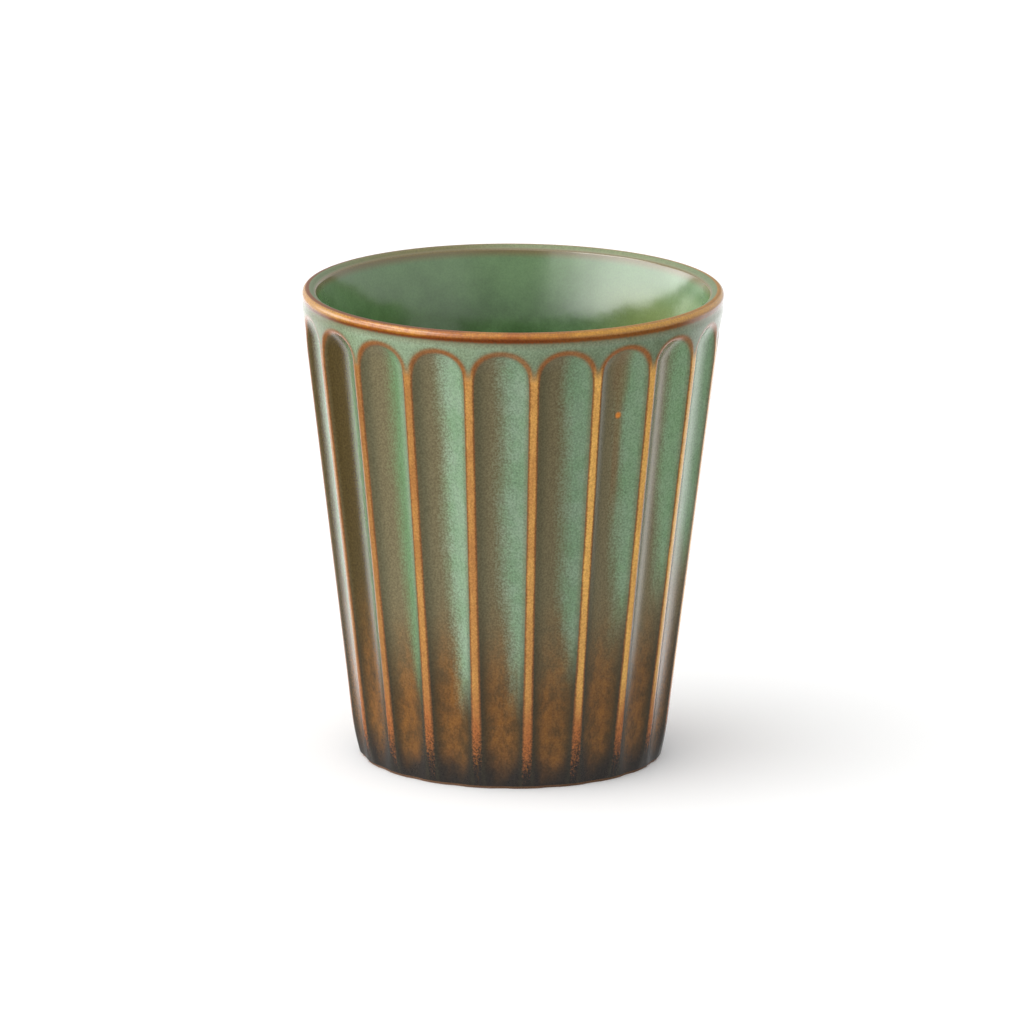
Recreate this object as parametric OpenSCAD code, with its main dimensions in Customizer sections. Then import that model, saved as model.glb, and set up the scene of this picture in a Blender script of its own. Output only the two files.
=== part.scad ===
// Fluted stoneware latte cup without a handle.
// A footed clay body is scooped into upright flutes and fired under three glazes: an iron glaze that
// shows amber on every edge, a green over-glaze that lies on the collar and in the flutes, and a liner.
// Millimetres, +Z up, origin on the table under the middle of the foot.

/* [Cup] */
// Height from the table to the crest of the lip
cup_h = 98.6; // [90:0.2:108]
// Diameter of the ridges where they would reach the crest
top_d = 88.2; // [84:0.2:92]
// Diameter of the ridges where they would reach the table
base_d = 64.4; // [60:0.2:68]
// Finished wall from a ridge to the inside
wall_t = 5.8; // [5:0.1:6.4]
// Height of the inside floor above the table
floor_z = 8; // [7:0.2:11]
// Radius of the bend from the inside floor to the wall
floor_bend_r = 10; // [6:0.5:14]
// Distance from the crest down to where the wall begins to draw in
draw_h = 13.6; // [10:0.2:16]
// How far it draws in from the line of the ridges up to the amber band
draw_in = 0.45; // [0.2:0.05:0.6]

/* [Flutes] */
// Number of flutes round the wall
flute_count = 20; // [16:1:20]
// Radius of the scoop that cuts a flute
flute_r = 12; // [11:0.5:13]
// Width of the ridge between two flutes
ridge_w = 1.7; // [1.3:0.1:1.8]
// Distance from the crest down to where the straight sides of a flute turn into its arch
arch_drop = 9; // [8.6:0.1:10.6]
// Radius of the scoop's rounded end, which shapes the arch
arch_r = 7; // [6:0.25:9]

/* [Lip] */
// Radius of the outer edge of the lip
lip_r = 1.2; // [1:0.05:1.25]
// Radius of the inner edge of the lip
lip_inner_r = 0.6; // [0.5:0.05:0.7]
// Thickness of the lip between its two edges
lip_w = 2.9; // [2.8:0.1:3.4]
// How far the top of the lip falls towards the inside
lip_fall = 0.7; // [0.5:0.05:0.8]
// Depth below the crest over which the wall thins to the lip
lip_taper = 20; // [17:0.5:26]

/* [Foot] */
// Radius of the inward curve of the wall above the table
foot_bend_r = 66; // [60:2:90]
// Height where that curve begins
foot_bend_h = 10; // [6:0.5:10]
// Diameter of the recess inside the foot ring
recess_d = 46; // [40:0.5:50]
// Depth of the recess
recess_h = 2.2; // [1.6:0.1:2.6]
// Bare clay left below the glaze
bare_foot_h = 0.6; // [0.4:0.1:0.8]

/* [Glaze] */
// Thickness of the iron glaze and of the liner over the clay
coat_t = 0.3; // [0.2:0.05:0.4]
// Thickness of the green glaze on the collar
collar_t = 0.15; // [0.1:0.05:0.2]
// Depth of the green glaze along the middle of a flute at its top
pool_top_t = 0.4; // [0.35:0.05:0.5]
// Depth of the green glaze along the middle of a flute at the table
pool_base_t = 0.22; // [0.2:0.02:0.3]
// Height where the green glaze thins out to brown
green_low_z = 20; // [14:1:30]
// Width of the amber line along each arch
edge_line_w = 0.4; // [0.3:0.05:0.5]
// Height of the amber band at the lip
lip_band_h = 2; // [1.8:0.1:3]
// Width of the unglazed band round the glaze in the foot recess
recess_bare_w = 1.5; // [1:0.1:3]

/* [Hidden] */
$fn = 180;

clay_colour = [0.50, 0.33, 0.20];
amber = [0.74, 0.46, 0.21];
collar_green = [0.58, 0.71, 0.60];
flute_green = [0.50, 0.64, 0.52];
liner_green = [0.42, 0.56, 0.42];

top_r = top_d / 2;
base_r = base_d / 2;
recess_r = recess_d / 2;
lean = atan((top_r - base_r) / cup_h);
band_z = cup_h - lip_band_h;
spring_z = cup_h - arch_drop;
draw_z = cup_h - draw_h;
draw_lean = atan((ridge_r(band_z) - draw_in - ridge_r(draw_z)) / (band_z - draw_z));

// How far a cut runs past what it cuts, how far a scoop runs past the wall, and how far a straight line
// of a section starts inside the round that it runs into
over = 2;
cut_over = 0.2;
seam = 0.02;

// Scoops: each axis stands outside the wall and leans with it, so the ridges keep their width
scoop_top = scoop_axis_r(top_r);
scoop_base = scoop_axis_r(base_r);
scoop_below = 12;

// Green in a flute: its surface is a flatter scoop, higher by the depth of the glaze
pool_flatten = 1.28;
pool_drop = 0.5;
pool_r = flute_r * pool_flatten;
pool_top = scoop_top - flute_r + pool_r + pool_top_t;
pool_base = scoop_base - flute_r + pool_r + pool_base_t;
pool_spring_z = spring_z - pool_drop;

// Green on the collar: its points between the arches stop where the ridges begin
collar_tip_h = 1.2;
collar_low_z = spring_z + collar_tip_h;

// Foot: the curve leaves the line of the ridges without a kink
foot_c = [ridge_r(foot_bend_h) - foot_bend_r * cos(lean), foot_bend_h + foot_bend_r * sin(lean)];

// Lip: two rounded edges, the outer one in line with the collar, joined by a top that falls inwards
lip_z = cup_h - lip_r;
lip_x = collar_r(lip_z) - lip_r / cos(draw_lean);
rim_z = cup_h - lip_fall - lip_inner_r;
rim_x = lip_x + lip_r - lip_w + lip_inner_r;
lip_top_angle = atan2(lip_z - rim_z, lip_x - rim_x)
    + acos((lip_inner_r - lip_r) / norm([lip_x - rim_x, lip_z - rim_z]));

// Inside: the wall runs parallel to the outside and thins over the taper below the lip
taper_z = cup_h - lip_taper;
taper_x = ridge_r(taper_z) - wall_t;
bend_z = floor_z + floor_bend_r;
bend_x = ridge_r(bend_z) - wall_t - floor_bend_r / cos(lean);
rim_lean = atan2(rim_x - taper_x, rim_z - taper_z)
    - asin(lip_inner_r / norm([rim_x - taper_x, rim_z - taper_z]));

// Radius of the straight line of the ridges at a height
function ridge_r(z) = base_r + (top_r - base_r) * z / cup_h;

// Radius of the straight line of the collar, which starts from the ridges and draws in towards the lip
function collar_r(z) = ridge_r(draw_z) + (z - draw_z) * tan(draw_lean);

// Distance of a scoop's axis from the cup's axis where the ridges have radius r
function scoop_axis_r(r) =
    let (half = 180 / flute_count - asin(ridge_w / 2 / r))
    r * cos(half) + sqrt(pow(flute_r, 2) - pow(r * sin(half), 2));

// A point on a circle
function on_circle(centre, r, angle) = centre + r * [cos(angle), sin(angle)];

// Half section of the outside, filled to the axis below the taper, shrunk by inset
module outside_section(inset) {
    shift = inset / cos(lean);
    lip_c = [lip_x, lip_z];
    rim_c = [rim_x, rim_z];
    intersection() {
        translate(foot_c) circle(r = foot_bend_r - inset);
        square([top_r, foot_bend_h + over]);
    }
    translate(lip_c) circle(r = lip_r - inset);
    translate(rim_c) circle(r = lip_inner_r - inset);
    polygon([
        [0, foot_bend_h],
        on_circle(foot_c, foot_bend_r - inset - seam, -lean),
        [ridge_r(draw_z) - shift, draw_z],
        [collar_r(band_z) - shift, band_z],
        on_circle(lip_c, lip_r - inset - seam, -draw_lean),
        on_circle(lip_c, lip_r - inset - seam, lip_top_angle),
        on_circle(rim_c, lip_inner_r - inset - seam, lip_top_angle),
        on_circle(rim_c, lip_inner_r - inset - seam, 180),
        [taper_x - over, taper_z],
        [0, taper_z]
    ]);
}

// Half section of the space inside, grown by inset into the wall
module inside_section(inset) {
    bend_c = [bend_x, bend_z];
    translate(bend_c) circle(r = floor_bend_r + inset);
    polygon([
        [0, floor_z - inset + seam],
        [bend_x, floor_z - inset + seam],
        on_circle(bend_c, floor_bend_r + inset - seam, -lean),
        [taper_x + inset / cos(lean), taper_z],
        on_circle([rim_x, rim_z], lip_inner_r - inset - seam, 180 - rim_lean),
        [rim_x - lip_inner_r + inset, cup_h + over],
        [0, cup_h + over]
    ]);
}

// Half section of the whole wall and floor, shrunk by inset on every side that is glazed
module wall_section(inset) {
    difference() {
        outside_section(inset);
        inside_section(inset);
    }
}

// Half section of everything that belongs to the inside: up to the middle of the wall and of the lip
module inner_zone() {
    polygon([
        [0, floor_z - over],
        [ridge_r(floor_z) - wall_t / 2, floor_z - over],
        [ridge_r(taper_z) - wall_t / 2, taper_z],
        [rim_x, taper_z],
        [rim_x, cup_h + over],
        [0, cup_h + over]
    ]);
}

// A scoop in front of the cup, grown by grow: a long cylinder with a rounded upper end
module scoop(r, axis_base, axis_top, spring, grow) {
    tilt = atan((axis_top - axis_base) / cup_h);
    straight = spring / cos(tilt);
    translate([0, -axis_base, 0])
        rotate([tilt, 0, 0])
            rotate_extrude() {
                polygon([[0, -scoop_below], [r + grow, -scoop_below], [r + grow, straight], [0, straight]]);
                translate([0, straight]) square([r - arch_r, arch_r + grow]);
                intersection() {
                    translate([r - arch_r, straight]) circle(r = arch_r + grow);
                    translate([r - arch_r, straight]) square(arch_r + grow);
                }
            }
}

// Copies its children to every flute, the first one facing the front
module at_flutes() {
    for (i = [0 : flute_count - 1])
        rotate([0, 0, i * 360 / flute_count])
            children();
}

// Frustum that follows the ridges from z0 up to the amber band, grown by grow
module ridge_cone(z0, grow) {
    translate([0, 0, z0])
        cylinder(r1 = ridge_r(z0) + grow, r2 = ridge_r(band_z) + grow, h = band_z - z0);
}

// Frustum that follows the collar between two heights, grown by grow
module collar_cone(z0, z1, grow) {
    translate([0, 0, z0])
        cylinder(r1 = collar_r(z0) + grow, r2 = collar_r(z1) + grow, h = z1 - z0);
}

// What a scoop takes out of the wall above z0: it reaches a little past ridges that are grown by reach
module flute_cut(z0, grow, reach) {
    intersection() {
        scoop(flute_r, scoop_base, scoop_top, spring_z, grow);
        ridge_cone(z0, reach + cut_over);
    }
}

// Fired clay: fluted wall, lip, floor and foot ring
module clay_body() {
    color(clay_colour)
        difference() {
            rotate_extrude() wall_section(coat_t);
            at_flutes() flute_cut(-over, coat_t, -coat_t);
            translate([0, 0, -over]) cylinder(r = recess_r, h = recess_h + over);
        }
}

// Iron glaze over the whole outside, from the middle of the lip down to the bare foot
module iron_glaze() {
    color(amber)
        difference() {
            rotate_extrude() outside_section(0);
            at_flutes() flute_cut(-over, 0, 0);
            difference() {
                rotate_extrude() outside_section(coat_t);
                at_flutes() flute_cut(-over, coat_t, -coat_t);
            }
            translate([0, 0, -over]) cylinder(r = top_r, h = bare_foot_h + over);
            translate([0, 0, taper_z]) cylinder(r = rim_x, h = lip_taper + over);
        }
}

// Green glaze on the collar between the lip and the arches
module collar_glaze() {
    color(collar_green)
        difference() {
            collar_cone(collar_low_z, band_z, collar_t);
            collar_cone(collar_low_z - over, band_z + over, 0);
            at_flutes() flute_cut(collar_low_z - cut_over, edge_line_w, collar_t);
        }
}

// Green glaze pooled in the flutes
module flute_glaze() {
    color(flute_green)
        at_flutes()
            difference() {
                intersection() {
                    scoop(flute_r, scoop_base, scoop_top, spring_z, 0);
                    rotate_extrude()
                        polygon([
                            [0, green_low_z],
                            [ridge_r(green_low_z), green_low_z],
                            [ridge_r(draw_z), draw_z],
                            [collar_r(band_z), band_z],
                            [0, band_z]
                        ]);
                }
                scoop(pool_r, pool_base, pool_top, pool_spring_z, 0);
            }
}

// Glaze inside the cup, up to the middle of the lip
module liner_glaze() {
    color(liner_green)
        rotate_extrude()
            intersection() {
                difference() {
                    wall_section(0);
                    wall_section(coat_t);
                }
                inner_zone();
            }
}

// Glaze under the floor, inside the foot ring
module underside_glaze() {
    color(liner_green)
        translate([0, 0, recess_h - coat_t])
            cylinder(r = recess_r - recess_bare_w, h = coat_t);
}

clay_body();
iron_glaze();
collar_glaze();
flute_glaze();
liner_glaze();
underside_glaze();
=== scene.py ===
import math
from types import SimpleNamespace

import bmesh
import bpy
from mathutils import Matrix, Vector


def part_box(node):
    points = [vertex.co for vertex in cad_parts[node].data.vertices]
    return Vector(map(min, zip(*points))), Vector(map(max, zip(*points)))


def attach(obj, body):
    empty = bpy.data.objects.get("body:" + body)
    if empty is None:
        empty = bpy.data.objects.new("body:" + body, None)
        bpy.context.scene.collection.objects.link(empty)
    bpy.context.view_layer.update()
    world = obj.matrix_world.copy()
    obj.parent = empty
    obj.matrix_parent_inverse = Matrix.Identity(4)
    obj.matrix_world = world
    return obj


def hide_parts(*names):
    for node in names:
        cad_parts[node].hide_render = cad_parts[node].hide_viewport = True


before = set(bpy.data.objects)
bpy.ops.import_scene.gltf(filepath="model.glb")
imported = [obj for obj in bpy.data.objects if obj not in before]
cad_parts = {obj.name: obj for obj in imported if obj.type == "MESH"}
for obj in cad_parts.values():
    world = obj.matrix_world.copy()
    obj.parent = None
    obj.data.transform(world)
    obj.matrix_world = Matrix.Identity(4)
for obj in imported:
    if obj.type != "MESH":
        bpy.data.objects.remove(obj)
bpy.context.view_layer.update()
mm = 0.001

cup = {
    "height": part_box("iron_glaze")[1].z,
    "topRadius": 44.1 * mm,  # ridges carried up to the crest
    "footRadius": 32.2 * mm,  # ridges carried down to the table
    "fluteCount": 20,
}
cup["lean"] = math.atan2(cup["topRadius"] - cup["footRadius"], cup["height"])


def ridgeRadius(z):
    return cup["footRadius"] + (cup["topRadius"] - cup["footRadius"]) * z / cup["height"]


def smoothStep(low, high, x):
    t = min(max((x - low) / (high - low), 0), 1)
    return t * t * (3 - 2 * t)


def creaseRims(bm, sharpest=math.radians(50)):  # keeps smooth shading from bending round a skin's rim
    for e in bm.edges:
        if e.calc_face_angle(0) > sharpest:
            e.smooth = False


def objectFrom(bm, name, material):
    mesh = bpy.data.meshes.new(name)
    bm.to_mesh(mesh)
    bm.free()
    mesh.materials.append(material)
    made = bpy.data.objects.new(name, mesh)
    bpy.context.scene.collection.objects.link(made)
    return made


def addPiece(bm, name, material, slotName, *nodes):
    piece = objectFrom(bm, name, material)
    faces = piece.data.polygons
    faces.foreach_set("use_smooth", [True] * len(faces))
    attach(piece, "root")
    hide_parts(*nodes)
    print(name, len(faces), "faces")


# Camera: a long lens a little to the right of the front flute, held almost level
view = {
    "azimuth": 3.103,
    "elevation": 13.866,
    "roll": 0.312,
    "distance": 2093.4 * mm,
    "lens": 355.1,
    "sensor": 36,
    "shift": (0.09, 7.57),  # pixels in a picture of this width
    "pictureWidth": 1024,
    "clipEnd": 20,
}


def addCamera():
    data = bpy.data.cameras.new("camera")
    data.lens = view["lens"]
    data.sensor_width = view["sensor"]
    data.shift_x, data.shift_y = (pixels / view["pictureWidth"] for pixels in view["shift"])
    data.clip_end = view["clipEnd"]
    camera = bpy.data.objects.new("camera", data)
    azimuth, elevation, roll = (math.radians(view[key]) for key in ("azimuth", "elevation", "roll"))
    level = math.cos(elevation)
    back = Vector((math.sin(azimuth) * level, -math.cos(azimuth) * level, math.sin(elevation)))
    target = Vector((0, 0, cup["height"] / 2))
    turn = back.to_track_quat("Z", "Y") @ Matrix.Rotation(roll, 3, "Z").to_quaternion()
    camera.matrix_world = Matrix.Translation(target + back * view["distance"]) @ turn.to_matrix().to_4x4()
    bpy.context.scene.collection.objects.link(camera)
    bpy.context.scene.camera = camera
    print("camera at", [round(c, 3) for c in camera.location])


addCamera()


# Small helpers for node trees: most of them return the socket that carries the result
def addNode(tree, kind, settings=None, **inputs):
    node = tree.nodes.new(kind)
    for key, value in (settings or {}).items():
        setattr(node, key, value)
    for key, value in inputs.items():
        setInput(tree, node.inputs[key.replace("_", " ")], value)
    return node


def setInput(tree, socket, value):
    if isinstance(value, bpy.types.NodeSocket):
        tree.links.new(value, socket)
    else:
        socket.default_value = value


def calc(tree, operation, *values):
    node = addNode(tree, "ShaderNodeMath", {"operation": operation})
    for socket, value in zip(node.inputs, values):
        setInput(tree, socket, value)
    return node.outputs[0]


def added(tree, base, value, share=1):  # base plus a share of the value
    return calc(tree, "MULTIPLY_ADD", value, share, base)


def minus(tree, first, second):
    return calc(tree, "SUBTRACT", first, second)


def times(tree, first, second):
    return calc(tree, "MULTIPLY", first, second)


def larger(tree, first, second):
    return calc(tree, "MAXIMUM", first, second)


def ramped(tree, value, low, high):
    node = addNode(tree, "ShaderNodeMapRange", {"interpolation_type": "SMOOTHSTEP"},
                   Value=value, From_Min=low, From_Max=high)
    return node.outputs["Result"]


def plateau(tree, value, limits):  # rises to 1 between the first two limits and falls between the last two
    rise, top, end, fall = limits
    return times(tree, ramped(tree, value, rise, top), ramped(tree, value, fall, end))


def blended(tree, factor, first, second, mode="MIX"):
    node = addNode(tree, "ShaderNodeMix", {"data_type": "RGBA", "blend_type": mode})
    for index, value in ((0, factor), (6, first), (7, second)):  # its sockets for colours
        setInput(tree, node.inputs[index], value)
    return node.outputs[2]


def shaded(tree, colour, value):
    grey = addNode(tree, "ShaderNodeCombineColor", Red=value, Green=value, Blue=value).outputs[0]
    return blended(tree, 1, colour, grey, "MULTIPLY")


def cloud(tree, place, scale, detail, roughness=0.5, stretch=1):
    if stretch != 1:  # below 1 it is drawn out up the wall
        place = addNode(tree, "ShaderNodeMapping", Vector=place, Scale=(1, 1, stretch)).outputs["Vector"]
    node = addNode(tree, "ShaderNodeTexNoise", Vector=place, Scale=scale, Detail=detail, Roughness=roughness)
    return node.outputs["Fac"]


def patchesOf(tree, place, spread, **noise):
    return ramped(tree, cloud(tree, place, **noise), *spread)


def axesOf(tree, place):
    return addNode(tree, "ShaderNodeSeparateXYZ", Vector=place).outputs


def paint(red, green, blue):
    def toLinear(c):
        c /= 255
        return c / 12.92 if c <= 0.04045 else ((c + 0.055) / 1.055) ** 2.4
    return (toLinear(red), toLinear(green), toLinear(blue), 1)


# Fine mottle that every glaze on the cup shares: grain, dark specks, small clouds and a faint orange peel
mottle = {
    "grain": {"scale": 2500, "detail": 2, "roughness": 0.6, "spread": (0.25, 0.75)},
    "clouds": {"scale": 190, "detail": 3, "roughness": 0.6, "spread": (0.3, 0.7)},
    "peel": {"scale": 420, "detail": 2},
    "speckScale": 520,
    "speckSize": (0.15, 0.05),
}


def glazeGrainGroup():
    group = bpy.data.node_groups.new("glazeGrain", "ShaderNodeTree")
    group.interface.new_socket("Place", in_out="INPUT", socket_type="NodeSocketVector")
    start = group.nodes.new("NodeGroupInput").outputs["Place"]
    cells = addNode(group, "ShaderNodeTexVoronoi", Vector=start, Scale=mottle["speckScale"])
    results = {
        "Grain": patchesOf(group, start, **mottle["grain"]),
        "Specks": ramped(group, cells.outputs["Distance"], *mottle["speckSize"]),
        "Clouds": patchesOf(group, start, **mottle["clouds"]),
        "Peel": cloud(group, start, **mottle["peel"]),
    }
    for name in results:
        group.interface.new_socket(name, in_out="OUTPUT", socket_type="NodeSocketFloat")
    end = group.nodes.new("NodeGroupOutput")
    for name, result in results.items():
        group.links.new(result, end.inputs[name])
    return group


glazeGrain = glazeGrainGroup()


def grainOf(tree, place, *names):
    node = addNode(tree, "ShaderNodeGroup", {"node_tree": glazeGrain}, Place=place)
    return [node.outputs[name] for name in names]


def newMaterial(name):
    material = bpy.data.materials.new(name)
    material.use_nodes = True
    tree = material.node_tree
    shader = tree.nodes["Principled BSDF"]
    place = addNode(tree, "ShaderNodeTexCoord").outputs["Object"]
    return material, tree, shader, place


def finishSurface(tree, shader, colour, roughness, height, bump):
    distance, strength = bump
    node = addNode(tree, "ShaderNodeBump", Height=height, Distance=distance, Strength=strength)
    tree.links.new(colour, shader.inputs["Base Color"])
    tree.links.new(roughness, shader.inputs["Roughness"])
    tree.links.new(node.outputs["Normal"], shader.inputs["Normal"])


# Outside glaze: iron on every edge and below, green over it on the collar and in the flutes
# from the mesh: millimetres from the flute's edge (- inside) and along the lip from its crest (- below),
# the place across the flute from -1 to 1, and the flute's own tints
outsideLayers = ("edge", "lip", "across", "split", "greenLow", "depth", "fresh", "tone")
borderNoise = {
    "streaks": {"scale": 450, "detail": 3, "roughness": 0.6, "stretch": 0.1},
    "wander": {"scale": 70, "detail": 2, "stretch": 0.5},
    "blotches": {"scale": 170, "detail": 3, "roughness": 0.6, "stretch": 0.6},
}


def outsideMarks(tree, place):  # what the coats go by
    axes = axesOf(tree, place)
    mark = SimpleNamespace(place=place, axes=axes)
    names = ("Grain", "Specks", "Clouds", "Peel")
    mark.grain, mark.specks, mark.clouds, mark.peel = grainOf(tree, place, *names)
    mark.grit = minus(tree, mark.grain, 0.5)
    mark.x, mark.z = times(tree, axes["X"], 1 / mm), times(tree, axes["Z"], 1 / mm)
    for name in outsideLayers:
        node = addNode(tree, "ShaderNodeAttribute", {"attribute_name": name})
        setattr(mark, name, node.outputs["Fac"])
    for name, noise in borderNoise.items():
        setattr(mark, name, minus(tree, cloud(tree, place, **noise), 0.5))
    return mark


# in every coat a line is a height, a side is left (-) or right of the cup's middle, and an edge, start or
# end is a distance from the mesh, all in millimetres

# brown with ochre along the middle of the flutes, dark at the foot and olive above
undercoat = {
    "brown": paint(60, 49, 29),
    "ochre": paint(134, 87, 36),
    "ochrePatches": {"scale": 420, "detail": 6, "roughness": 0.75, "stretch": 0.6, "spread": (0.34, 0.68)},
    "ochreShare": (0.2, 0.6),  # the least, and what the patches add
    "middleAcross": (0.85, 0.2),
    "foot": paint(42, 37, 33),
    "footLine": (3, 12.5),
    "footBlotches": 9,
    "footMiddle": 3,
    "olive": paint(106, 98, 72),
    # painted shade: the olive darkens towards each flute's left edge
    "paintedShadeOlive": paint(78, 78, 58),
    "paintedShadeAcross": (-0.95, -0.35),
    "oliveLine": (16, 46),
    "oliveWander": 16,
    "umber": paint(66, 52, 18),
}


def undercoatColour(tree, mark):
    coat = undercoat
    middle = ramped(tree, calc(tree, "ABSOLUTE", mark.across), *coat["middleAcross"])
    least, more = coat["ochreShare"]
    patches = patchesOf(tree, mark.place, **coat["ochrePatches"])
    ochre = times(tree, middle, added(tree, least, patches, more))
    brown = blended(tree, ochre, coat["brown"], coat["ochre"])
    foot = added(tree, mark.z, mark.blotches, coat["footBlotches"])
    foot = added(tree, foot, middle, coat["footMiddle"])
    brown = blended(tree, ramped(tree, foot, *coat["footLine"]), coat["foot"], brown)
    # painted shade darkens the olive towards each flute's left edge
    olive = blended(tree, ramped(tree, mark.across, *coat["paintedShadeAcross"]), coat["paintedShadeOlive"], coat["olive"])
    olive = blended(tree, mark.depth, olive, coat["umber"])
    rise = added(tree, mark.z, mark.wander, coat["oliveWander"])
    return blended(tree, ramped(tree, rise, *coat["oliveLine"]), brown, olive)


# green that lies on the right of each flute and thins out downwards
greenCoat = {
    "mint": paint(122, 142, 119),
    "mintDeep": paint(108, 134, 104),
    "fresh": paint(90, 124, 78),
    "specks": 0.3,
    "border": (-0.4, 0.36),  # round the flute's split
    "borderWander": 0.4,
    "borderStreaks": 0.4,
    "borderGrit": 0.2,
    "narrowing": 0.35,
    "narrowUpTo": (0, 30),  # millimetres above its lower end
    "fade": (-5, 12),
    "fadeStreaks": 12,
}


def withGreen(tree, mark, body):
    coat = greenCoat
    above = minus(tree, mark.z, mark.greenLow)
    narrow = minus(tree, 1, ramped(tree, above, *coat["narrowUpTo"]))
    split = added(tree, mark.split, narrow, coat["narrowing"])
    split = added(tree, split, mark.wander, coat["borderWander"])
    side = added(tree, minus(tree, mark.across, split), mark.streaks, coat["borderStreaks"])
    side = added(tree, side, mark.grit, coat["borderGrit"])
    low = added(tree, above, mark.streaks, coat["fadeStreaks"])
    share = times(tree, ramped(tree, side, *coat["border"]), ramped(tree, low, *coat["fade"]))
    mint = blended(tree, mark.clouds, coat["mintDeep"], coat["mint"])
    mint = shaded(tree, blended(tree, mark.fresh, mint, coat["fresh"]), mark.tone)
    mint = shaded(tree, mint, added(tree, 1, mark.specks, -coat["specks"]))
    return blended(tree, share, body, mint)


# collar above the arches, browner towards the lip and the arch lines, with painted light making it paler
# towards the left
collarCoat = {
    "green": paint(94, 108, 83),
    "pale": paint(125, 142, 114),
    "paintedLightSide": (34, -30),
    "olive": paint(90, 98, 62),
    "oliveSide": (-28, -40),
    "mintShare": 0.3,
    "hazeShare": 0.6,
    "archHaze": (1.6, 0.5),
    "lipHaze": (-4.4, -2.6),
    "edge": (0, 0.4),
    "bottomLine": (88, 89),
}


def withCollar(tree, mark, body):
    coat = collarCoat
    # painted light: the collar turns paler towards the left of the cup
    collar = blended(tree, ramped(tree, mark.x, *coat["paintedLightSide"]), coat["green"], coat["pale"])
    collar = blended(tree, ramped(tree, mark.x, *coat["oliveSide"]), collar, coat["olive"])
    collar = blended(tree, times(tree, mark.clouds, coat["mintShare"]), collar, greenCoat["mint"])
    haze = larger(tree, ramped(tree, mark.edge, *coat["archHaze"]), ramped(tree, mark.lip, *coat["lipHaze"]))
    collar = blended(tree, times(tree, haze, coat["hazeShare"]), collar, undercoat["olive"])
    share = times(tree, ramped(tree, mark.edge, *coat["edge"]), ramped(tree, mark.z, *coat["bottomLine"]))
    return blended(tree, share, body, collar)


# iron on ridges and arch lines, with painted shade on the other coats just beside it
ironCoat = {
    "amber": paint(162, 110, 57),
    "gold": paint(214, 166, 84),
    "goldPatches": {"scale": 260, "detail": 3, "roughness": 0.6, "stretch": 0.35, "spread": (0.3, 0.7)},
    "goldPatchShare": 0.3,
    # painted light: the ridges grow more golden towards the right of the cup
    "ironPaintedLightSide": (0, 20),
    "ironPaintedLightShare": 0.5,
    # rust at the frayed edges, also used as painted shade on the ridges towards the left
    "rustAndShade": paint(116, 72, 38),
    "ironPaintedShadeSide": (-8, -34),
    "ironPaintedShadeShare": 0.6,
    "rustEdge": (-0.1, 0.35),
    "rustLow": paint(150, 88, 44),
    "rustLine": (10, 24),
    "fall": 10,  # how far the noise moves the lower lines
    "wearLine": (3, 13),
    "wearGrit": 6,
    "ridgeTopLine": (91.5, 88),
    "arch": paint(130, 78, 34),
    "archPatches": {"scale": 75, "detail": 1, "spread": (0.3, 0.55)},
    "archShare": (0.68, 0.27),  # the least, and what the patches add
    "archEdge": (0.25, 1),
    "archReach": 0.75,  # into the flute
    "ridgeReach": 0.4,
    "edgeGrit": 0.1,
    # painted shade in the flutes just inside their edges, darker lower down
    "paintedEdgeShade": paint(98, 85, 58),
    "paintedEdgeShadeLow": paint(56, 52, 40),
    "paintedEdgeShadeLine": (22, 48),
    "paintedEdgeShadeBand": (-1.3, -0.3, -0.1, 0.2),
    "paintedEdgeShadeShare": 0.45,
}


def withIron(tree, mark, body):
    coat = ironCoat
    onRidge = ramped(tree, mark.z, *coat["ridgeTopLine"])
    # painted shade in the flutes beside the ridges and under the arches
    paintedEdgeShade = blended(tree, ramped(tree, mark.z, *coat["paintedEdgeShadeLine"]), coat["paintedEdgeShadeLow"], coat["paintedEdgeShade"])
    beside = times(tree, plateau(tree, mark.edge, coat["paintedEdgeShadeBand"]), coat["paintedEdgeShadeShare"])
    body = blended(tree, beside, body, paintedEdgeShade)

    frayed = added(tree, mark.edge, mark.grit, coat["edgeGrit"])
    line = larger(tree, minus(tree, 1, ramped(tree, frayed, *coat["archEdge"])), onRidge)
    start = added(tree, -coat["archReach"], onRidge, coat["archReach"] - coat["ridgeReach"])
    fall = added(tree, mark.z, added(tree, mark.wander, mark.streaks), coat["fall"])
    wear = ramped(tree, added(tree, fall, mark.grit, coat["wearGrit"]), *coat["wearLine"])
    least, more = coat["archShare"]
    arch = added(tree, least, patchesOf(tree, mark.place, **coat["archPatches"]), more)
    share = times(tree, ramped(tree, frayed, start, 0), line)
    share = times(tree, share, times(tree, wear, larger(tree, arch, onRidge)))

    # gold in random patches, plus painted light towards the right of the cup
    gold = times(tree, patchesOf(tree, mark.place, **coat["goldPatches"]), coat["goldPatchShare"])
    gold = added(tree, gold, ramped(tree, mark.x, *coat["ironPaintedLightSide"]), coat["ironPaintedLightShare"])
    iron = blended(tree, gold, coat["amber"], coat["gold"])
    # painted shade: the ridges darken to rust towards the left of the cup
    rustAndShade = times(tree, ramped(tree, mark.x, *coat["ironPaintedShadeSide"]), coat["ironPaintedShadeShare"])
    iron = blended(tree, rustAndShade, iron, coat["rustAndShade"])
    iron = blended(tree, ramped(tree, fall, *coat["rustLine"]), coat["rustLow"], iron)
    iron = blended(tree, ramped(tree, frayed, *coat["rustEdge"]), coat["rustAndShade"], iron)
    iron = blended(tree, onRidge, coat["arch"], iron)
    return blended(tree, share, body, iron)


# one iron spot that has run a little
ironRun = {
    "spot": paint(190, 116, 44),
    "brown": paint(114, 88, 58),
    "share": 0.6,
    "angle": 35.6,  # degrees round from the front
    "height": 79.6,  # millimetres, as all below
    "radius": (0.95, 0.3),
    "width": 1.5,
    "core": 0.2,
    "widening": 1.6,  # above the spot
    "widenUpTo": (0, -9),
    "length": (25, 12),
    "edge": (-1.2, -0.3),
}


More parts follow.
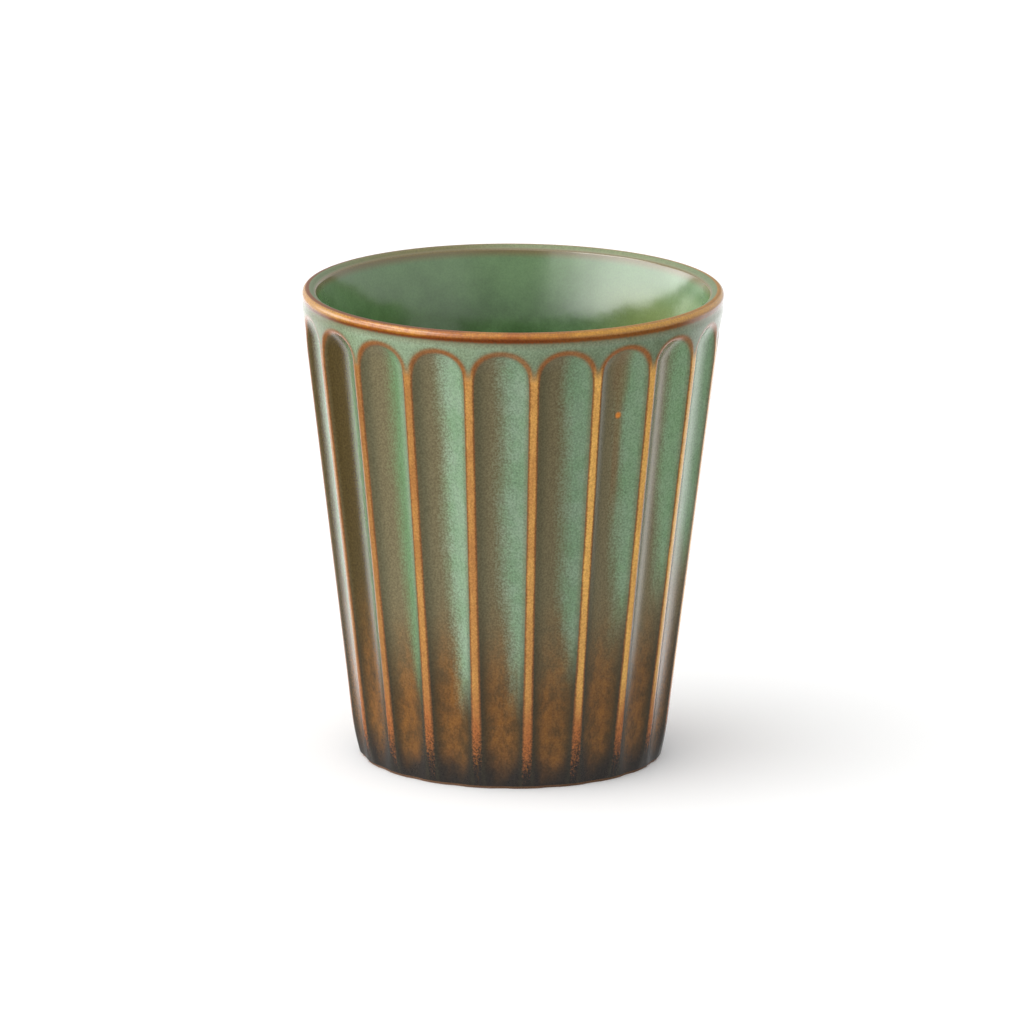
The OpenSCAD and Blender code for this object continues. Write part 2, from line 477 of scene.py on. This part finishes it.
def withIronRun(tree, mark, body):
    turn = math.radians(ironRun["angle"])
    x, y = mark.axes["X"], mark.axes["Y"]
    sideways = added(tree, times(tree, x, math.cos(turn) / mm), y, math.sin(turn) / mm)
    outwards = minus(tree, times(tree, x, math.sin(turn)), times(tree, y, math.cos(turn)))
    facing = calc(tree, "GREATER_THAN", outwards, 0)
    below = minus(tree, ironRun["height"], mark.z)
    away = calc(tree, "SQRT", added(tree, calc(tree, "POWER", sideways, 2), calc(tree, "POWER", below, 2)))
    spot = times(tree, ramped(tree, away, *ironRun["radius"]), facing)
    width = added(tree, ironRun["width"], ramped(tree, below, *ironRun["widenUpTo"]), ironRun["widening"])
    run = ramped(tree, calc(tree, "ABSOLUTE", sideways), width, ironRun["core"])
    run = times(tree, run, ramped(tree, below, *ironRun["length"]))
    run = times(tree, run, minus(tree, 1, ramped(tree, mark.edge, *ironRun["edge"])))
    run = times(tree, times(tree, run, facing), ironRun["share"])
    body = blended(tree, run, body, ironRun["brown"])
    return blended(tree, spot, body, ironRun["spot"])


# lip: amber bead with a dark lower side and a line along its crest, green-grey top
lipCoat = {
    "amber": paint(152, 84, 8),
    "gold": paint(180, 120, 32),
    "pools": {"scale": 160, "detail": 4, "roughness": 0.65, "spread": (0.38, 0.62)},
    "olive": paint(172, 126, 44),
    "oliveSide": (0, 26),
    "oliveShare": 0.85,
    "end": paint(166, 118, 46),
    "endSide": (-26, -38),
    "dark": paint(98, 44, 4),
    "darkOlive": paint(112, 66, 18),
    "darkEnd": (-2.5, -1.5),
    "crest": paint(104, 56, 8),
    "crestStart": (-0.8, -0.4),
    "frontSide": (-20, 0),  # past it the dark side is wider and the line fainter
    "frontWider": 0.4,
    "frontFainter": 0.6,
    "start": (-3.05, -2.35),
    "startGrit": 0.2,
    "top": paint(100, 114, 80),
    "topStart": (0.1, 0.4),
    "topPale": paint(118, 127, 90),
    "topBack": (10 * mm, 38 * mm),
    "topTan": paint(106, 92, 44),
    "topLeft": (2 * mm, -18 * mm),
    "tanShare": 0.7,
}


def withLip(tree, mark, body):
    coat = lipCoat
    amber = blended(tree, patchesOf(tree, mark.place, **coat["pools"]), coat["amber"], coat["gold"])
    olive = times(tree, ramped(tree, mark.x, *coat["oliveSide"]), coat["oliveShare"])
    amber = blended(tree, olive, amber, coat["olive"])
    amber = blended(tree, ramped(tree, mark.x, *coat["endSide"]), amber, coat["end"])
    dark = blended(tree, olive, coat["dark"], coat["darkOlive"])
    front = ramped(tree, mark.x, *coat["frontSide"])
    low = added(tree, mark.lip, front, -coat["frontWider"])
    bead = blended(tree, ramped(tree, low, *coat["darkEnd"]), dark, amber)
    faint = added(tree, 1, front, -coat["frontFainter"])
    crest = times(tree, ramped(tree, mark.lip, *coat["crestStart"]), faint)
    bead = blended(tree, crest, bead, coat["crest"])
    share = ramped(tree, added(tree, mark.lip, mark.grit, coat["startGrit"]), *coat["start"])
    body = blended(tree, share, body, bead)
    return blended(tree, ramped(tree, mark.lip, *coat["topStart"]), body, lipTopColour(tree, mark.axes))


def lipTopColour(tree, axes):  # paler at the back and browner at its left
    back = ramped(tree, axes["Y"], *lipCoat["topBack"])
    green = blended(tree, back, lipCoat["top"], lipCoat["topPale"])
    left = times(tree, back, ramped(tree, axes["X"], *lipCoat["topLeft"]))
    return blended(tree, times(tree, left, lipCoat["tanShare"]), green, lipCoat["topTan"])


# gloss and fine relief of the whole skin
outsideFinish = {
    "grit": 0.45,  # how much the grain shades the colour
    "gloss": (0.13, 0.07),  # roughness, and what the grain adds
    "footLine": (12, 2),  # the coat is thin and less glossy at the foot and on top of the lip
    "footDry": 0.05,
    "lipStart": (-0.9, -0.3),
    "lipDry": 0.42,
    "ior": 1.55,
    "bump": (0.06 * mm, 0.6),  # distance and strength
    "bumpGrain": 0.3,
}


def outsideGlaze():
    material, tree, shader, place = newMaterial("outsideGlaze")
    mark, finish = outsideMarks(tree, place), outsideFinish
    body = undercoatColour(tree, mark)
    for addCoat in (withGreen, withCollar, withIron, withIronRun, withLip):
        body = addCoat(tree, mark, body)
    body = shaded(tree, body, added(tree, 1, mark.grit, finish["grit"]))
    smooth, rough = finish["gloss"]
    foot = times(tree, ramped(tree, mark.z, *finish["footLine"]), finish["footDry"])
    lip = times(tree, ramped(tree, mark.lip, *finish["lipStart"]), finish["lipDry"])
    roughness = added(tree, added(tree, smooth, mark.grain, rough), larger(tree, foot, lip))
    height = added(tree, mark.peel, mark.grain, finish["bumpGrain"])
    finishSurface(tree, shader, body, roughness, height, finish["bump"])
    shader.inputs["IOR"].default_value = finish["ior"]
    return material


# Inside glaze: green and paler up to the lip, with painted reflections: olive and a pale patch at the right,
# darker low at the left
linerCoat = {
    "deep": paint(60, 95, 46),
    "clear": paint(80, 116, 66),
    # painted reflection: more olive at the right, most of all below the line
    "olive": paint(128, 140, 78),
    "oliveSide": (10, 30),
    "oliveLine": (95, 88),
    "oliveShare": (0.1, 0.85),  # above the line, and what is added below it
    # painted reflection of a dark shape, low at the left
    "dark": paint(24, 60, 14),
    "darkReflectionSide": (-30, -23, -14, -7),
    "darkReflectionLine": (89, 83.5),
    "darkReflectionShare": 0.5,
    # painted reflection: a pale patch high on the right inside wall
    "paintedReflection": paint(176, 190, 150),
    "paintedReflectionSide": (32, 36),
    "paintedReflectionClouds": 2,
    "paintedReflectionLine": (76, 86, 92, 95),
    "paintedReflectionShare": 0.65,
    "pale": paint(106, 140, 92),
    "paleLine": (80, 96),
    "paleShare": 0.5,
    "tanLine": (95.7, 97.6),
    "lipTopLine": (97.75, 98.1),
    "shade": (0.9, 0.2),  # the darkest, and what the grain adds
    "gloss": (0.13, 0.05),
    "dryLine": (97.6, 98),
    "dry": 0.35,
    "ior": 1.8,
    "waves": {"scale": 100, "detail": 1},
    "waveHeight": 11,
    "bump": (0.03 * mm, 0.5),
}


def linerGlaze():
    material, tree, shader, place = newMaterial("linerGlaze")
    coat = linerCoat
    grain, clouds, peel = grainOf(tree, place, "Grain", "Clouds", "Peel")
    axes = axesOf(tree, place)
    x, z = times(tree, axes["X"], 1 / mm), times(tree, axes["Z"], 1 / mm)
    body = blended(tree, clouds, coat["deep"], coat["clear"])
    # painted reflection: olive at the right
    least, more = coat["oliveShare"]
    olive = added(tree, least, ramped(tree, z, *coat["oliveLine"]), more)
    olive = times(tree, ramped(tree, x, *coat["oliveSide"]), olive)
    body = blended(tree, olive, body, coat["olive"])
    # painted reflection: darker low at the left
    dark = times(tree, plateau(tree, x, coat["darkReflectionSide"]), ramped(tree, z, *coat["darkReflectionLine"]))
    body = blended(tree, times(tree, dark, coat["darkReflectionShare"]), body, coat["dark"])
    # painted reflection: pale patch high at the right
    paintedReflection = ramped(tree, added(tree, x, clouds, coat["paintedReflectionClouds"]), *coat["paintedReflectionSide"])
    paintedReflection = times(tree, paintedReflection, plateau(tree, z, coat["paintedReflectionLine"]))
    body = blended(tree, times(tree, paintedReflection, coat["paintedReflectionShare"]), body, coat["paintedReflection"])
    pale = times(tree, ramped(tree, z, *coat["paleLine"]), coat["paleShare"])
    body = blended(tree, pale, body, coat["pale"])
    body = blended(tree, ramped(tree, z, *coat["tanLine"]), body, lipCoat["topTan"])
    body = blended(tree, ramped(tree, z, *coat["lipTopLine"]), body, lipTopColour(tree, axes))
    darkest, lighter = coat["shade"]
    body = shaded(tree, body, added(tree, darkest, grain, lighter))
    smooth, rough = coat["gloss"]
    roughness = added(tree, smooth, grain, rough)
    roughness = added(tree, roughness, ramped(tree, z, *coat["dryLine"]), coat["dry"])
    height = added(tree, peel, cloud(tree, place, **coat["waves"]), coat["waveHeight"])
    finishSurface(tree, shader, body, roughness, height, coat["bump"])
    shader.inputs["IOR"].default_value = coat["ior"]
    return material


# Bare clay, which shows under the foot and just above the table
clay = {
    "dark": paint(92, 64, 44),
    "light": paint(122, 88, 60),
    "patches": {"scale": 160, "detail": 3, "roughness": 0.6},
    "speck": paint(84, 54, 36),
    "speckSpread": (0.55, 0.75),
    "grit": {"scale": 2600, "detail": 4, "roughness": 0.7},
    "gloss": (0.6, 0.25),
    "bump": (0.12 * mm, 0.7),
}


def bareClay():
    material, tree, shader, place = newMaterial("bareClay")
    grit = cloud(tree, place, **clay["grit"])
    body = blended(tree, cloud(tree, place, **clay["patches"]), clay["dark"], clay["light"])
    body = blended(tree, ramped(tree, grit, *clay["speckSpread"]), body, clay["speck"])
    smooth, rough = clay["gloss"]
    finishSurface(tree, shader, body, added(tree, smooth, grit, rough), grit, clay["bump"])
    return material


# Outside wall and lip as one glazed skin, modelled as a single flute and turned round the cup
outside = {
    "ridgeColumns": 3,  # half a ridge
    "fluteColumns": 20,
    "columnCrowd": 0.18,  # towards the flute's edges
    "footRows": 10,
    "footCrowd": 1.5,
    "wallRows": 14,
    "archRows": 44,
    "archRowsStart": 82 * mm,
    "lipRows": 16,
    "scoopRadius": 12 * mm,
    "ridgeWidth": 1.7 * mm,
    "springHeight": 89.6 * mm,  # where the flute's sides turn into its arch
    "archRadius": 7 * mm,
    "outlineSteps": 500,
    "edgeRound": 0.32 * mm,
    "footBend": 66 * mm,  # radius of the wall's inward curve above the foot
    "footBendHeight": 10 * mm,
    "lowEdge": 0.6 * mm,  # bare clay below
    "drawStart": 85 * mm,  # the wall draws in from here to the lip
    "drawHeight": 11.6 * mm,
    "drawEase": 0.3,
    "drawIn": 0.45 * mm,
    "lipRadius": 1.2 * mm,
    "lipInnerRadius": 0.6 * mm,
    "lipWidth": 2.9 * mm,
    "lipFall": 0.7 * mm,
    "lipBand": 2 * mm,
    "collarRise": 0.15 * mm,
    "collarLow": (90 * mm, 93 * mm),
    "collarHigh": (94.5 * mm, 96.6 * mm),
    "skin": 0.25 * mm,
    "mergeGap": 0.01 * mm,
}
# tints of each flute, the front one first and then to its right
fluteTints = {
    # where the green begins, from the left ridge (-1) to the right one (1)
    "split": [0.04, 0.1, 0.06, 0.08, -0.3, 0.05, 0.15, -0.05, 0.1, 0.0,
              -0.15, 0.1, 0.0, 0.15, -0.1, 0.05, -0.25, 0.36, 0.2, 0.1],
    # height in millimetres where it ends
    "greenLow": [20, 24, 33, 38, 42, 36, 30, 26, 24, 22, 20, 24, 28, 30, 26, 24, 22, 20, 19, 18],
    # how dark the coat under it is, from olive (0) to umber (1)
    "depth": [0.1, 0.2, 0.1, 0, 0, 0.1, 0.3, 0.1, 0.2, 0.5, 0.1, 0, 0.2, 0.1, 0.3, 0.6, 0.9, 0.9, 0, 0],
    # how much of the green is fresh and clear, and how light it is
    "fresh": [0, 0.1, 0.25, 0.35, 0.2, 0.2, 0, 0.3, 0.1, 0, 0.2, 0.5, 0.1, 0, 0.3, 0.1, 0.2, 0.9, 0.7, 0],
    "tone": [0.96, 0.86, 1, 1.12, 1.05, 1, 1.05, 0.95, 1, 1.1, 1, 0.9, 1, 1.05, 1.1, 1, 1, 0.85, 0.92, 1.13],
}


def scoopAxis(radius):
    half = math.pi / cup["fluteCount"] - math.asin(outside["ridgeWidth"] / 2 / radius)
    reach = radius * math.sin(half)
    return radius * math.cos(half) + math.sqrt(outside["scoopRadius"] ** 2 - reach ** 2)


def scoopAt(z):  # distance of the scoop's axis and its radius at a height
    low, high = scoopAxis(cup["footRadius"]), scoopAxis(cup["topRadius"])
    axis = low + (high - low) * z / cup["height"]
    above = max(z - outside["springHeight"], 0)
    if above >= outside["archRadius"]:
        return axis, 0
    shrink = outside["archRadius"] - math.sqrt(outside["archRadius"] ** 2 - above ** 2)
    return axis, outside["scoopRadius"] - shrink


def fluteRadius(angle, z, plain):  # plain is the radius without a flute
    axis, reach = scoopAt(z)
    inside = reach ** 2 - (axis * math.sin(angle)) ** 2
    if inside <= 0:
        return plain
    cut = axis * math.cos(angle) - math.sqrt(inside)
    soft = outside["edgeRound"]
    near = max(soft - abs(plain - cut), 0) / soft
    return min(plain, cut) - near * near * soft / 4


def drawnRadius(z):  # ridges that draw in smoothly towards the lip
    ease = outside["drawEase"]
    t = max(z - outside["drawStart"], 0) / outside["drawHeight"]
    bent = t * t / (2 * ease) if t < ease else t - ease / 2
    return ridgeRadius(z) - outside["drawIn"] * bent / (1 - ease / 2)


def fluteHalf(z):  # half angle of a flute between its ridges
    radius = drawnRadius(z)
    axis, reach = scoopAt(z)
    return math.acos(min((radius ** 2 + axis ** 2 - reach ** 2) / (2 * radius * axis), 1))


def fluteOutline():  # half width of a flute at each height, with more heights near the crown of its arch
    crown = outside["springHeight"]
    while fluteHalf(crown) > 0:
        crown += 0.01 * mm
    steps = outside["outlineSteps"]
    heights = [crown * (1 - (1 - i / steps) ** 2) for i in range(steps + 1)]
    return [(drawnRadius(z) * fluteHalf(z), z) for z in heights]


def edgeDistance(outline, x, z):  # from the edge of the flute, negative inside it
    gap = min(math.hypot(x - edgeX, z - edgeZ) for edgeX, edgeZ in outline)
    halfWidth = min(outline, key=lambda point: abs(point[1] - z))[0]
    crown = outline[-1][1]
    return -gap if z < crown and x < halfWidth else gap


def lipCircles():  # centres of the lip's two edges, and the angles where the outer one begins and ends
    lip, inner, height = outside["lipRadius"], outside["lipInnerRadius"], cup["height"]
    lean = math.atan2(drawnRadius(height) - drawnRadius(height - mm), mm)
    outer = Vector((drawnRadius(height - lip) - lip / math.cos(lean), height - lip))
    rim = Vector((outer.x + lip - outside["lipWidth"] + inner, height - outside["lipFall"] - inner))
    gap = outer - rim
    return outer, rim, -lean, math.atan2(gap.y, gap.x) + math.acos((inner - lip) / gap.length)


def pointOn(centre, radius, angle):
    return centre + radius * Vector((math.cos(angle), math.sin(angle)))


def arcPoints(centre, radius, start, end, steps):
    return [pointOn(centre, radius, start + (end - start) * i / steps) for i in range(steps + 1)]


def lipStations():  # lip profile from the collar over the crest to the middle of its sloping top
    outer, rim, side, top = lipCircles()
    points = arcPoints(outer, outside["lipRadius"], side, top, outside["lipRows"])
    stop = pointOn(rim, outside["lipInnerRadius"], top)
    slope = (points[-1].x - rim.x) / (points[-1].x - stop.x)
    return points + [points[-1].lerp(stop, slope / 2), points[-1].lerp(stop, slope)]


def crestDistances(lips):  # along the lip's profile, negative below its crest
    along = [0.0]
    for a, b in zip(lips, lips[1:]):
        along.append(along[-1] + (b - a).length)
    crest = max(range(len(lips)), key=lambda i: lips[i].y)
    return [distance - along[crest] for distance in along]


def wallStations():  # heights up the wall, close together at the foot and round the arches
    low, bend, arches = outside["lowEdge"], outside["footBendHeight"], outside["archRowsStart"]
    foot, wall, arch = outside["footRows"], outside["wallRows"], outside["archRows"]
    band = cup["height"] - outside["lipBand"]
    heights = [low + (bend - low) * (i / foot) ** outside["footCrowd"] for i in range(foot)]
    heights += [bend + (arches - bend) * i / wall for i in range(wall)]
    heights += [arches + (band - arches) * i / arch for i in range(arch + 1)]
    return heights


def wallRadius(z):  # ridges with the curve above the foot and the raised collar
    if z < outside["footBendHeight"]:
        bend, start, lean = outside["footBend"], outside["footBendHeight"], cup["lean"]
        drop = start + bend * math.sin(lean) - z
        return ridgeRadius(start) - bend * math.cos(lean) + math.sqrt(bend ** 2 - drop ** 2)
    lift = smoothStep(*outside["collarLow"], z) - smoothStep(*outside["collarHigh"], z)
    return drawnRadius(z) + outside["collarRise"] * lift


def columnAngle(column, z):  # columns follow the edges of the flute up to its arch
    half, pitch = fluteHalf(min(z, outside["springHeight"])), math.pi / cup["fluteCount"]
    ridge, flute = outside["ridgeColumns"], outside["fluteColumns"]
    place = column - ridge - flute / 2
    beyond = abs(place) - flute / 2
    if beyond > 0:
        return math.copysign(half + (pitch - half) * beyond / ridge, place)
    t = place * 2 / flute
    return half * (t + outside["columnCrowd"] * math.sin(math.pi * t))


def shapeFlute(bm, layers):
    walls, lips, outline = wallStations(), lipStations(), fluteOutline()
    fromCrest = crestDistances(lips)
    rows = len(walls) + len(lips) - 1
    columns = outside["fluteColumns"] + 2 * outside["ridgeColumns"]
    bmesh.ops.create_grid(bm, x_segments=columns, y_segments=rows, size=1)
    for v in bm.verts:
        column, row = round((v.co.x + 1) / 2 * columns), round((v.co.y + 1) / 2 * rows)
        if row < len(walls):
            z = walls[row]
            angle = columnAngle(column, z)
            radius = fluteRadius(angle, z, wallRadius(z))
            v[layers["lip"]] = (z - lips[0].y + fromCrest[0]) / mm
        else:
            radius, z = lips[row - len(walls)]
            angle = columnAngle(column, z)
            v[layers["lip"]] = fromCrest[row - len(walls)] / mm
        v[layers["edge"]] = edgeDistance(outline, abs(angle) * drawnRadius(z), z) / mm
        v[layers["across"]] = angle / (math.pi / cup["fluteCount"])
        v.co = (radius * math.sin(angle), -radius * math.cos(angle), z)


def tintFlutes(bm, layers, pitch):
    for v in bm.verts:
        index = round(math.atan2(v.co.x, -v.co.y) / pitch) % cup["fluteCount"]
        for name, values in fluteTints.items():
            v[layers[name]] = values[index]


def buildOutside():
    bm = bmesh.new()
    layers = {name: bm.verts.layers.float.new(name) for name in outsideLayers}
    shapeFlute(bm, layers)
    pitch = 2 * math.pi / cup["fluteCount"]
    bmesh.ops.spin(bm, geom=bm.verts[:] + bm.edges[:] + bm.faces[:], cent=(0, 0, 0), axis=(0, 0, 1),
                   dvec=(0, 0, 0), angle=2 * math.pi - pitch, steps=cup["fluteCount"] - 1, use_duplicate=True)
    tintFlutes(bm, layers, pitch)
    bmesh.ops.remove_doubles(bm, verts=bm.verts, dist=outside["mergeGap"])
    bmesh.ops.recalc_face_normals(bm, faces=bm.faces)
    bmesh.ops.solidify(bm, geom=bm.faces[:], thickness=outside["skin"])
    creaseRims(bm)
    return bm


addPiece(buildOutside(), "outside_glaze", outsideGlaze(), "iron_glaze",
         "iron_glaze", "collar_glaze", "flute_glaze")

# Inside wall and floor, turned from one profile
liner = {
    "wall": 5.8 * mm,
    "floor": 8 * mm,
    "bend": 10 * mm,
    "taper": 20 * mm,
    "flare": 0.3 * mm,  # how far the wall curves in before it opens to the lip
    "skin": 0.25 * mm,
    "mergeGap": 0.005 * mm,
    "floorSteps": 8,
    "bendSteps": 16,
    "wallSteps": 12,
    "taperSteps": 16,
    "edgeSteps": 8,
    "turnSteps": 160,
}


def linerProfile():
    _, rim, _, top = lipCircles()
    bend, floor, wall, lean = liner["bend"], liner["floor"], liner["wall"], cup["lean"]
    centre = Vector((ridgeRadius(floor + bend) - wall - bend / math.cos(lean), floor + bend))
    floorSteps, wallSteps, taperSteps = liner["floorSteps"], liner["wallSteps"], liner["taperSteps"]
    points = [Vector((centre.x * i / floorSteps, floor)) for i in range(floorSteps)]
    points += arcPoints(centre, bend, -math.pi / 2, -lean, liner["bendSteps"])
    taperZ = cup["height"] - liner["taper"]
    start, stop = points[-1], Vector((ridgeRadius(taperZ) - wall, taperZ))
    points += [start.lerp(stop, i / wallSteps) for i in range(1, wallSteps + 1)]
    inner, gap = outside["lipInnerRadius"], rim - stop
    tilt = math.atan2(gap.x, gap.y) - math.asin(inner / gap.length)
    edge = arcPoints(rim, inner, math.pi - tilt, top, liner["edgeSteps"])
    for i in range(1, taperSteps):
        curve = liner["flare"] * math.sin(math.pi * i / taperSteps)
        points.append(stop.lerp(edge[0], i / taperSteps) - Vector((curve, 0)))
    return points + edge + [lipStations()[-1]]


def buildLiner():
    bm = bmesh.new()
    chain = [bm.verts.new((p.x, 0, p.y)) for p in linerProfile()]
    edges = [bm.edges.new(pair) for pair in zip(chain, chain[1:])]
    bmesh.ops.spin(bm, geom=chain + edges, cent=(0, 0, 0), axis=(0, 0, 1), dvec=(0, 0, 0),
                   angle=2 * math.pi, steps=liner["turnSteps"], use_merge=True)
    bmesh.ops.remove_doubles(bm, verts=bm.verts, dist=liner["mergeGap"])
    bmesh.ops.recalc_face_normals(bm, faces=bm.faces)
    if bm.faces[0].normal.z < 0:
        bmesh.ops.reverse_faces(bm, faces=bm.faces)
    bmesh.ops.solidify(bm, geom=bm.faces[:], thickness=liner["skin"])
    creaseRims(bm)
    return bm


linerMaterial = linerGlaze()
addPiece(buildLiner(), "inside_glaze", linerMaterial, "liner_glaze", "liner_glaze")

for nodeName, material in (("clay_body", bareClay()), ("underside_glaze", linerMaterial)):
    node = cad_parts[nodeName]
    node.data.materials.clear()
    node.data.materials.append(material)
print("clay and underside finished")


# White table, a wide low softbox on the left, a soft lamp above and a pale room that is brighter behind
studio = {
    "table": {"reach": 4, "white": 0.96, "roughness": 0.9},
    # dim table in front of the foot and beside it, which only the glaze sees
    "shade": {"inner": 60 * mm, "outer": 230 * mm, "back": (0, 50 * mm), "below": 0.1 * mm, "light": 0.3},
    "lamp": {"place": (-0.56, -0.44, 1.1), "size": (1.6, 1.6), "power": 6.4},
    # adds gloss along the lip and lights nothing else
    "sheen": {"place": (-0.85, -0.31, 0.88), "size": (1.15, 0.46), "power": 9, "glossOnly": True},
    "lampAim": (0, 0, 0.05),
    "room": 0.95,
    "roomFront": 0.6,
    "roomFrontFrom": (-0.7, -0.95),  # to the front (-) or the back
    "tableFront": 0.1,  # what the glaze sees of the table in front and beside the cup
    "tableBehind": 1.75,
    "tableBehindFrom": (0.25, 0.65),
    "tableTop": (-0.25, -0.12),  # below the horizon (-) or above it
    "softbox": 3.75,
    "softboxTurn": (-142, -108, -68, -5),  # degrees from the front: where it starts, is full and ends
    "softboxRise": (-0.1, 0.0, 0.32, 0.45),
}


def addTable():
    bm = bmesh.new()
    bmesh.ops.create_grid(bm, x_segments=1, y_segments=1, size=studio["table"]["reach"])
    material, _, shader, _ = newMaterial("tablePaper")
    white = studio["table"]["white"]
    shader.inputs["Base Color"].default_value = (white, white, white, 1)
    shader.inputs["Roughness"].default_value = studio["table"]["roughness"]
    table = objectFrom(bm, "table", material)
    table.visible_glossy = False


def addShade():
    shade = studio["shade"]
    bm = bmesh.new()
    bmesh.ops.create_circle(bm, cap_ends=True, segments=64, radius=shade["outer"])
    bmesh.ops.translate(bm, verts=bm.verts, vec=(0, 0, -shade["below"]))
    material, tree, _, place = newMaterial("tableShade")
    away = addNode(tree, "ShaderNodeVectorMath", {"operation": "LENGTH"}, Vector=place).outputs["Value"]
    beyond = ramped(tree, away, shade["inner"], shade["outer"])
    behind = ramped(tree, axesOf(tree, place)["Y"], *shade["back"])
    mix = addNode(tree, "ShaderNodeMixShader", Fac=larger(tree, beyond, behind))
    tree.links.new(addNode(tree, "ShaderNodeEmission", Strength=shade["light"]).outputs[0], mix.inputs[1])
    tree.links.new(addNode(tree, "ShaderNodeBsdfTransparent").outputs[0], mix.inputs[2])
    tree.links.new(mix.outputs[0], tree.nodes["Material Output"].inputs["Surface"])
    disc = objectFrom(bm, "tableShade", material)
    for ray in ("camera", "diffuse", "transmission", "volume_scatter", "shadow"):
        setattr(disc, "visible_" + ray, False)


def addLamp(place, size, power, glossOnly=False):
    data = bpy.data.lights.new("lamp", "AREA")
    data.shape = "RECTANGLE"
    data.size, data.size_y = size
    data.energy = power
    light = bpy.data.objects.new("lamp", data)
    turn = (Vector(studio["lampAim"]) - Vector(place)).to_track_quat("-Z", "Y")
    light.matrix_world = Matrix.Translation(place) @ turn.to_matrix().to_4x4()
    light.visible_diffuse = not glossOnly
    bpy.context.scene.collection.objects.link(light)


def addRoom():
    world = bpy.data.worlds.new("studio")
    bpy.context.scene.world = world
    world.use_nodes = True
    tree = world.node_tree
    axes = axesOf(tree, addNode(tree, "ShaderNodeTexCoord").outputs["Generated"])
    behind = ramped(tree, axes["Y"], *studio["tableBehindFrom"])
    table = added(tree, studio["tableFront"], behind, studio["tableBehind"] - studio["tableFront"])
    front = ramped(tree, axes["Y"], *studio["roomFrontFrom"])
    walls = added(tree, studio["room"], front, studio["roomFront"] - studio["room"])
    above = ramped(tree, axes["Z"], *studio["tableTop"])
    room = added(tree, times(tree, above, walls), minus(tree, 1, above), table)
    turn = calc(tree, "ARCTAN2", axes["X"], times(tree, axes["Y"], -1))
    softbox = times(tree, plateau(tree, turn, [math.radians(a) for a in studio["softboxTurn"]]),
                    plateau(tree, axes["Z"], studio["softboxRise"]))
    background = tree.nodes["Background"]
    background.inputs["Color"].default_value = (1, 1, 1, 1)
    tree.links.new(added(tree, room, softbox, studio["softbox"]), background.inputs["Strength"])


def addStudio():
    addTable()
    addShade()
    addLamp(**studio["lamp"])
    addLamp(**studio["sheen"])
    addRoom()
    bpy.context.scene.view_settings.view_transform = "Standard"
    print("studio ready")


addStudio()
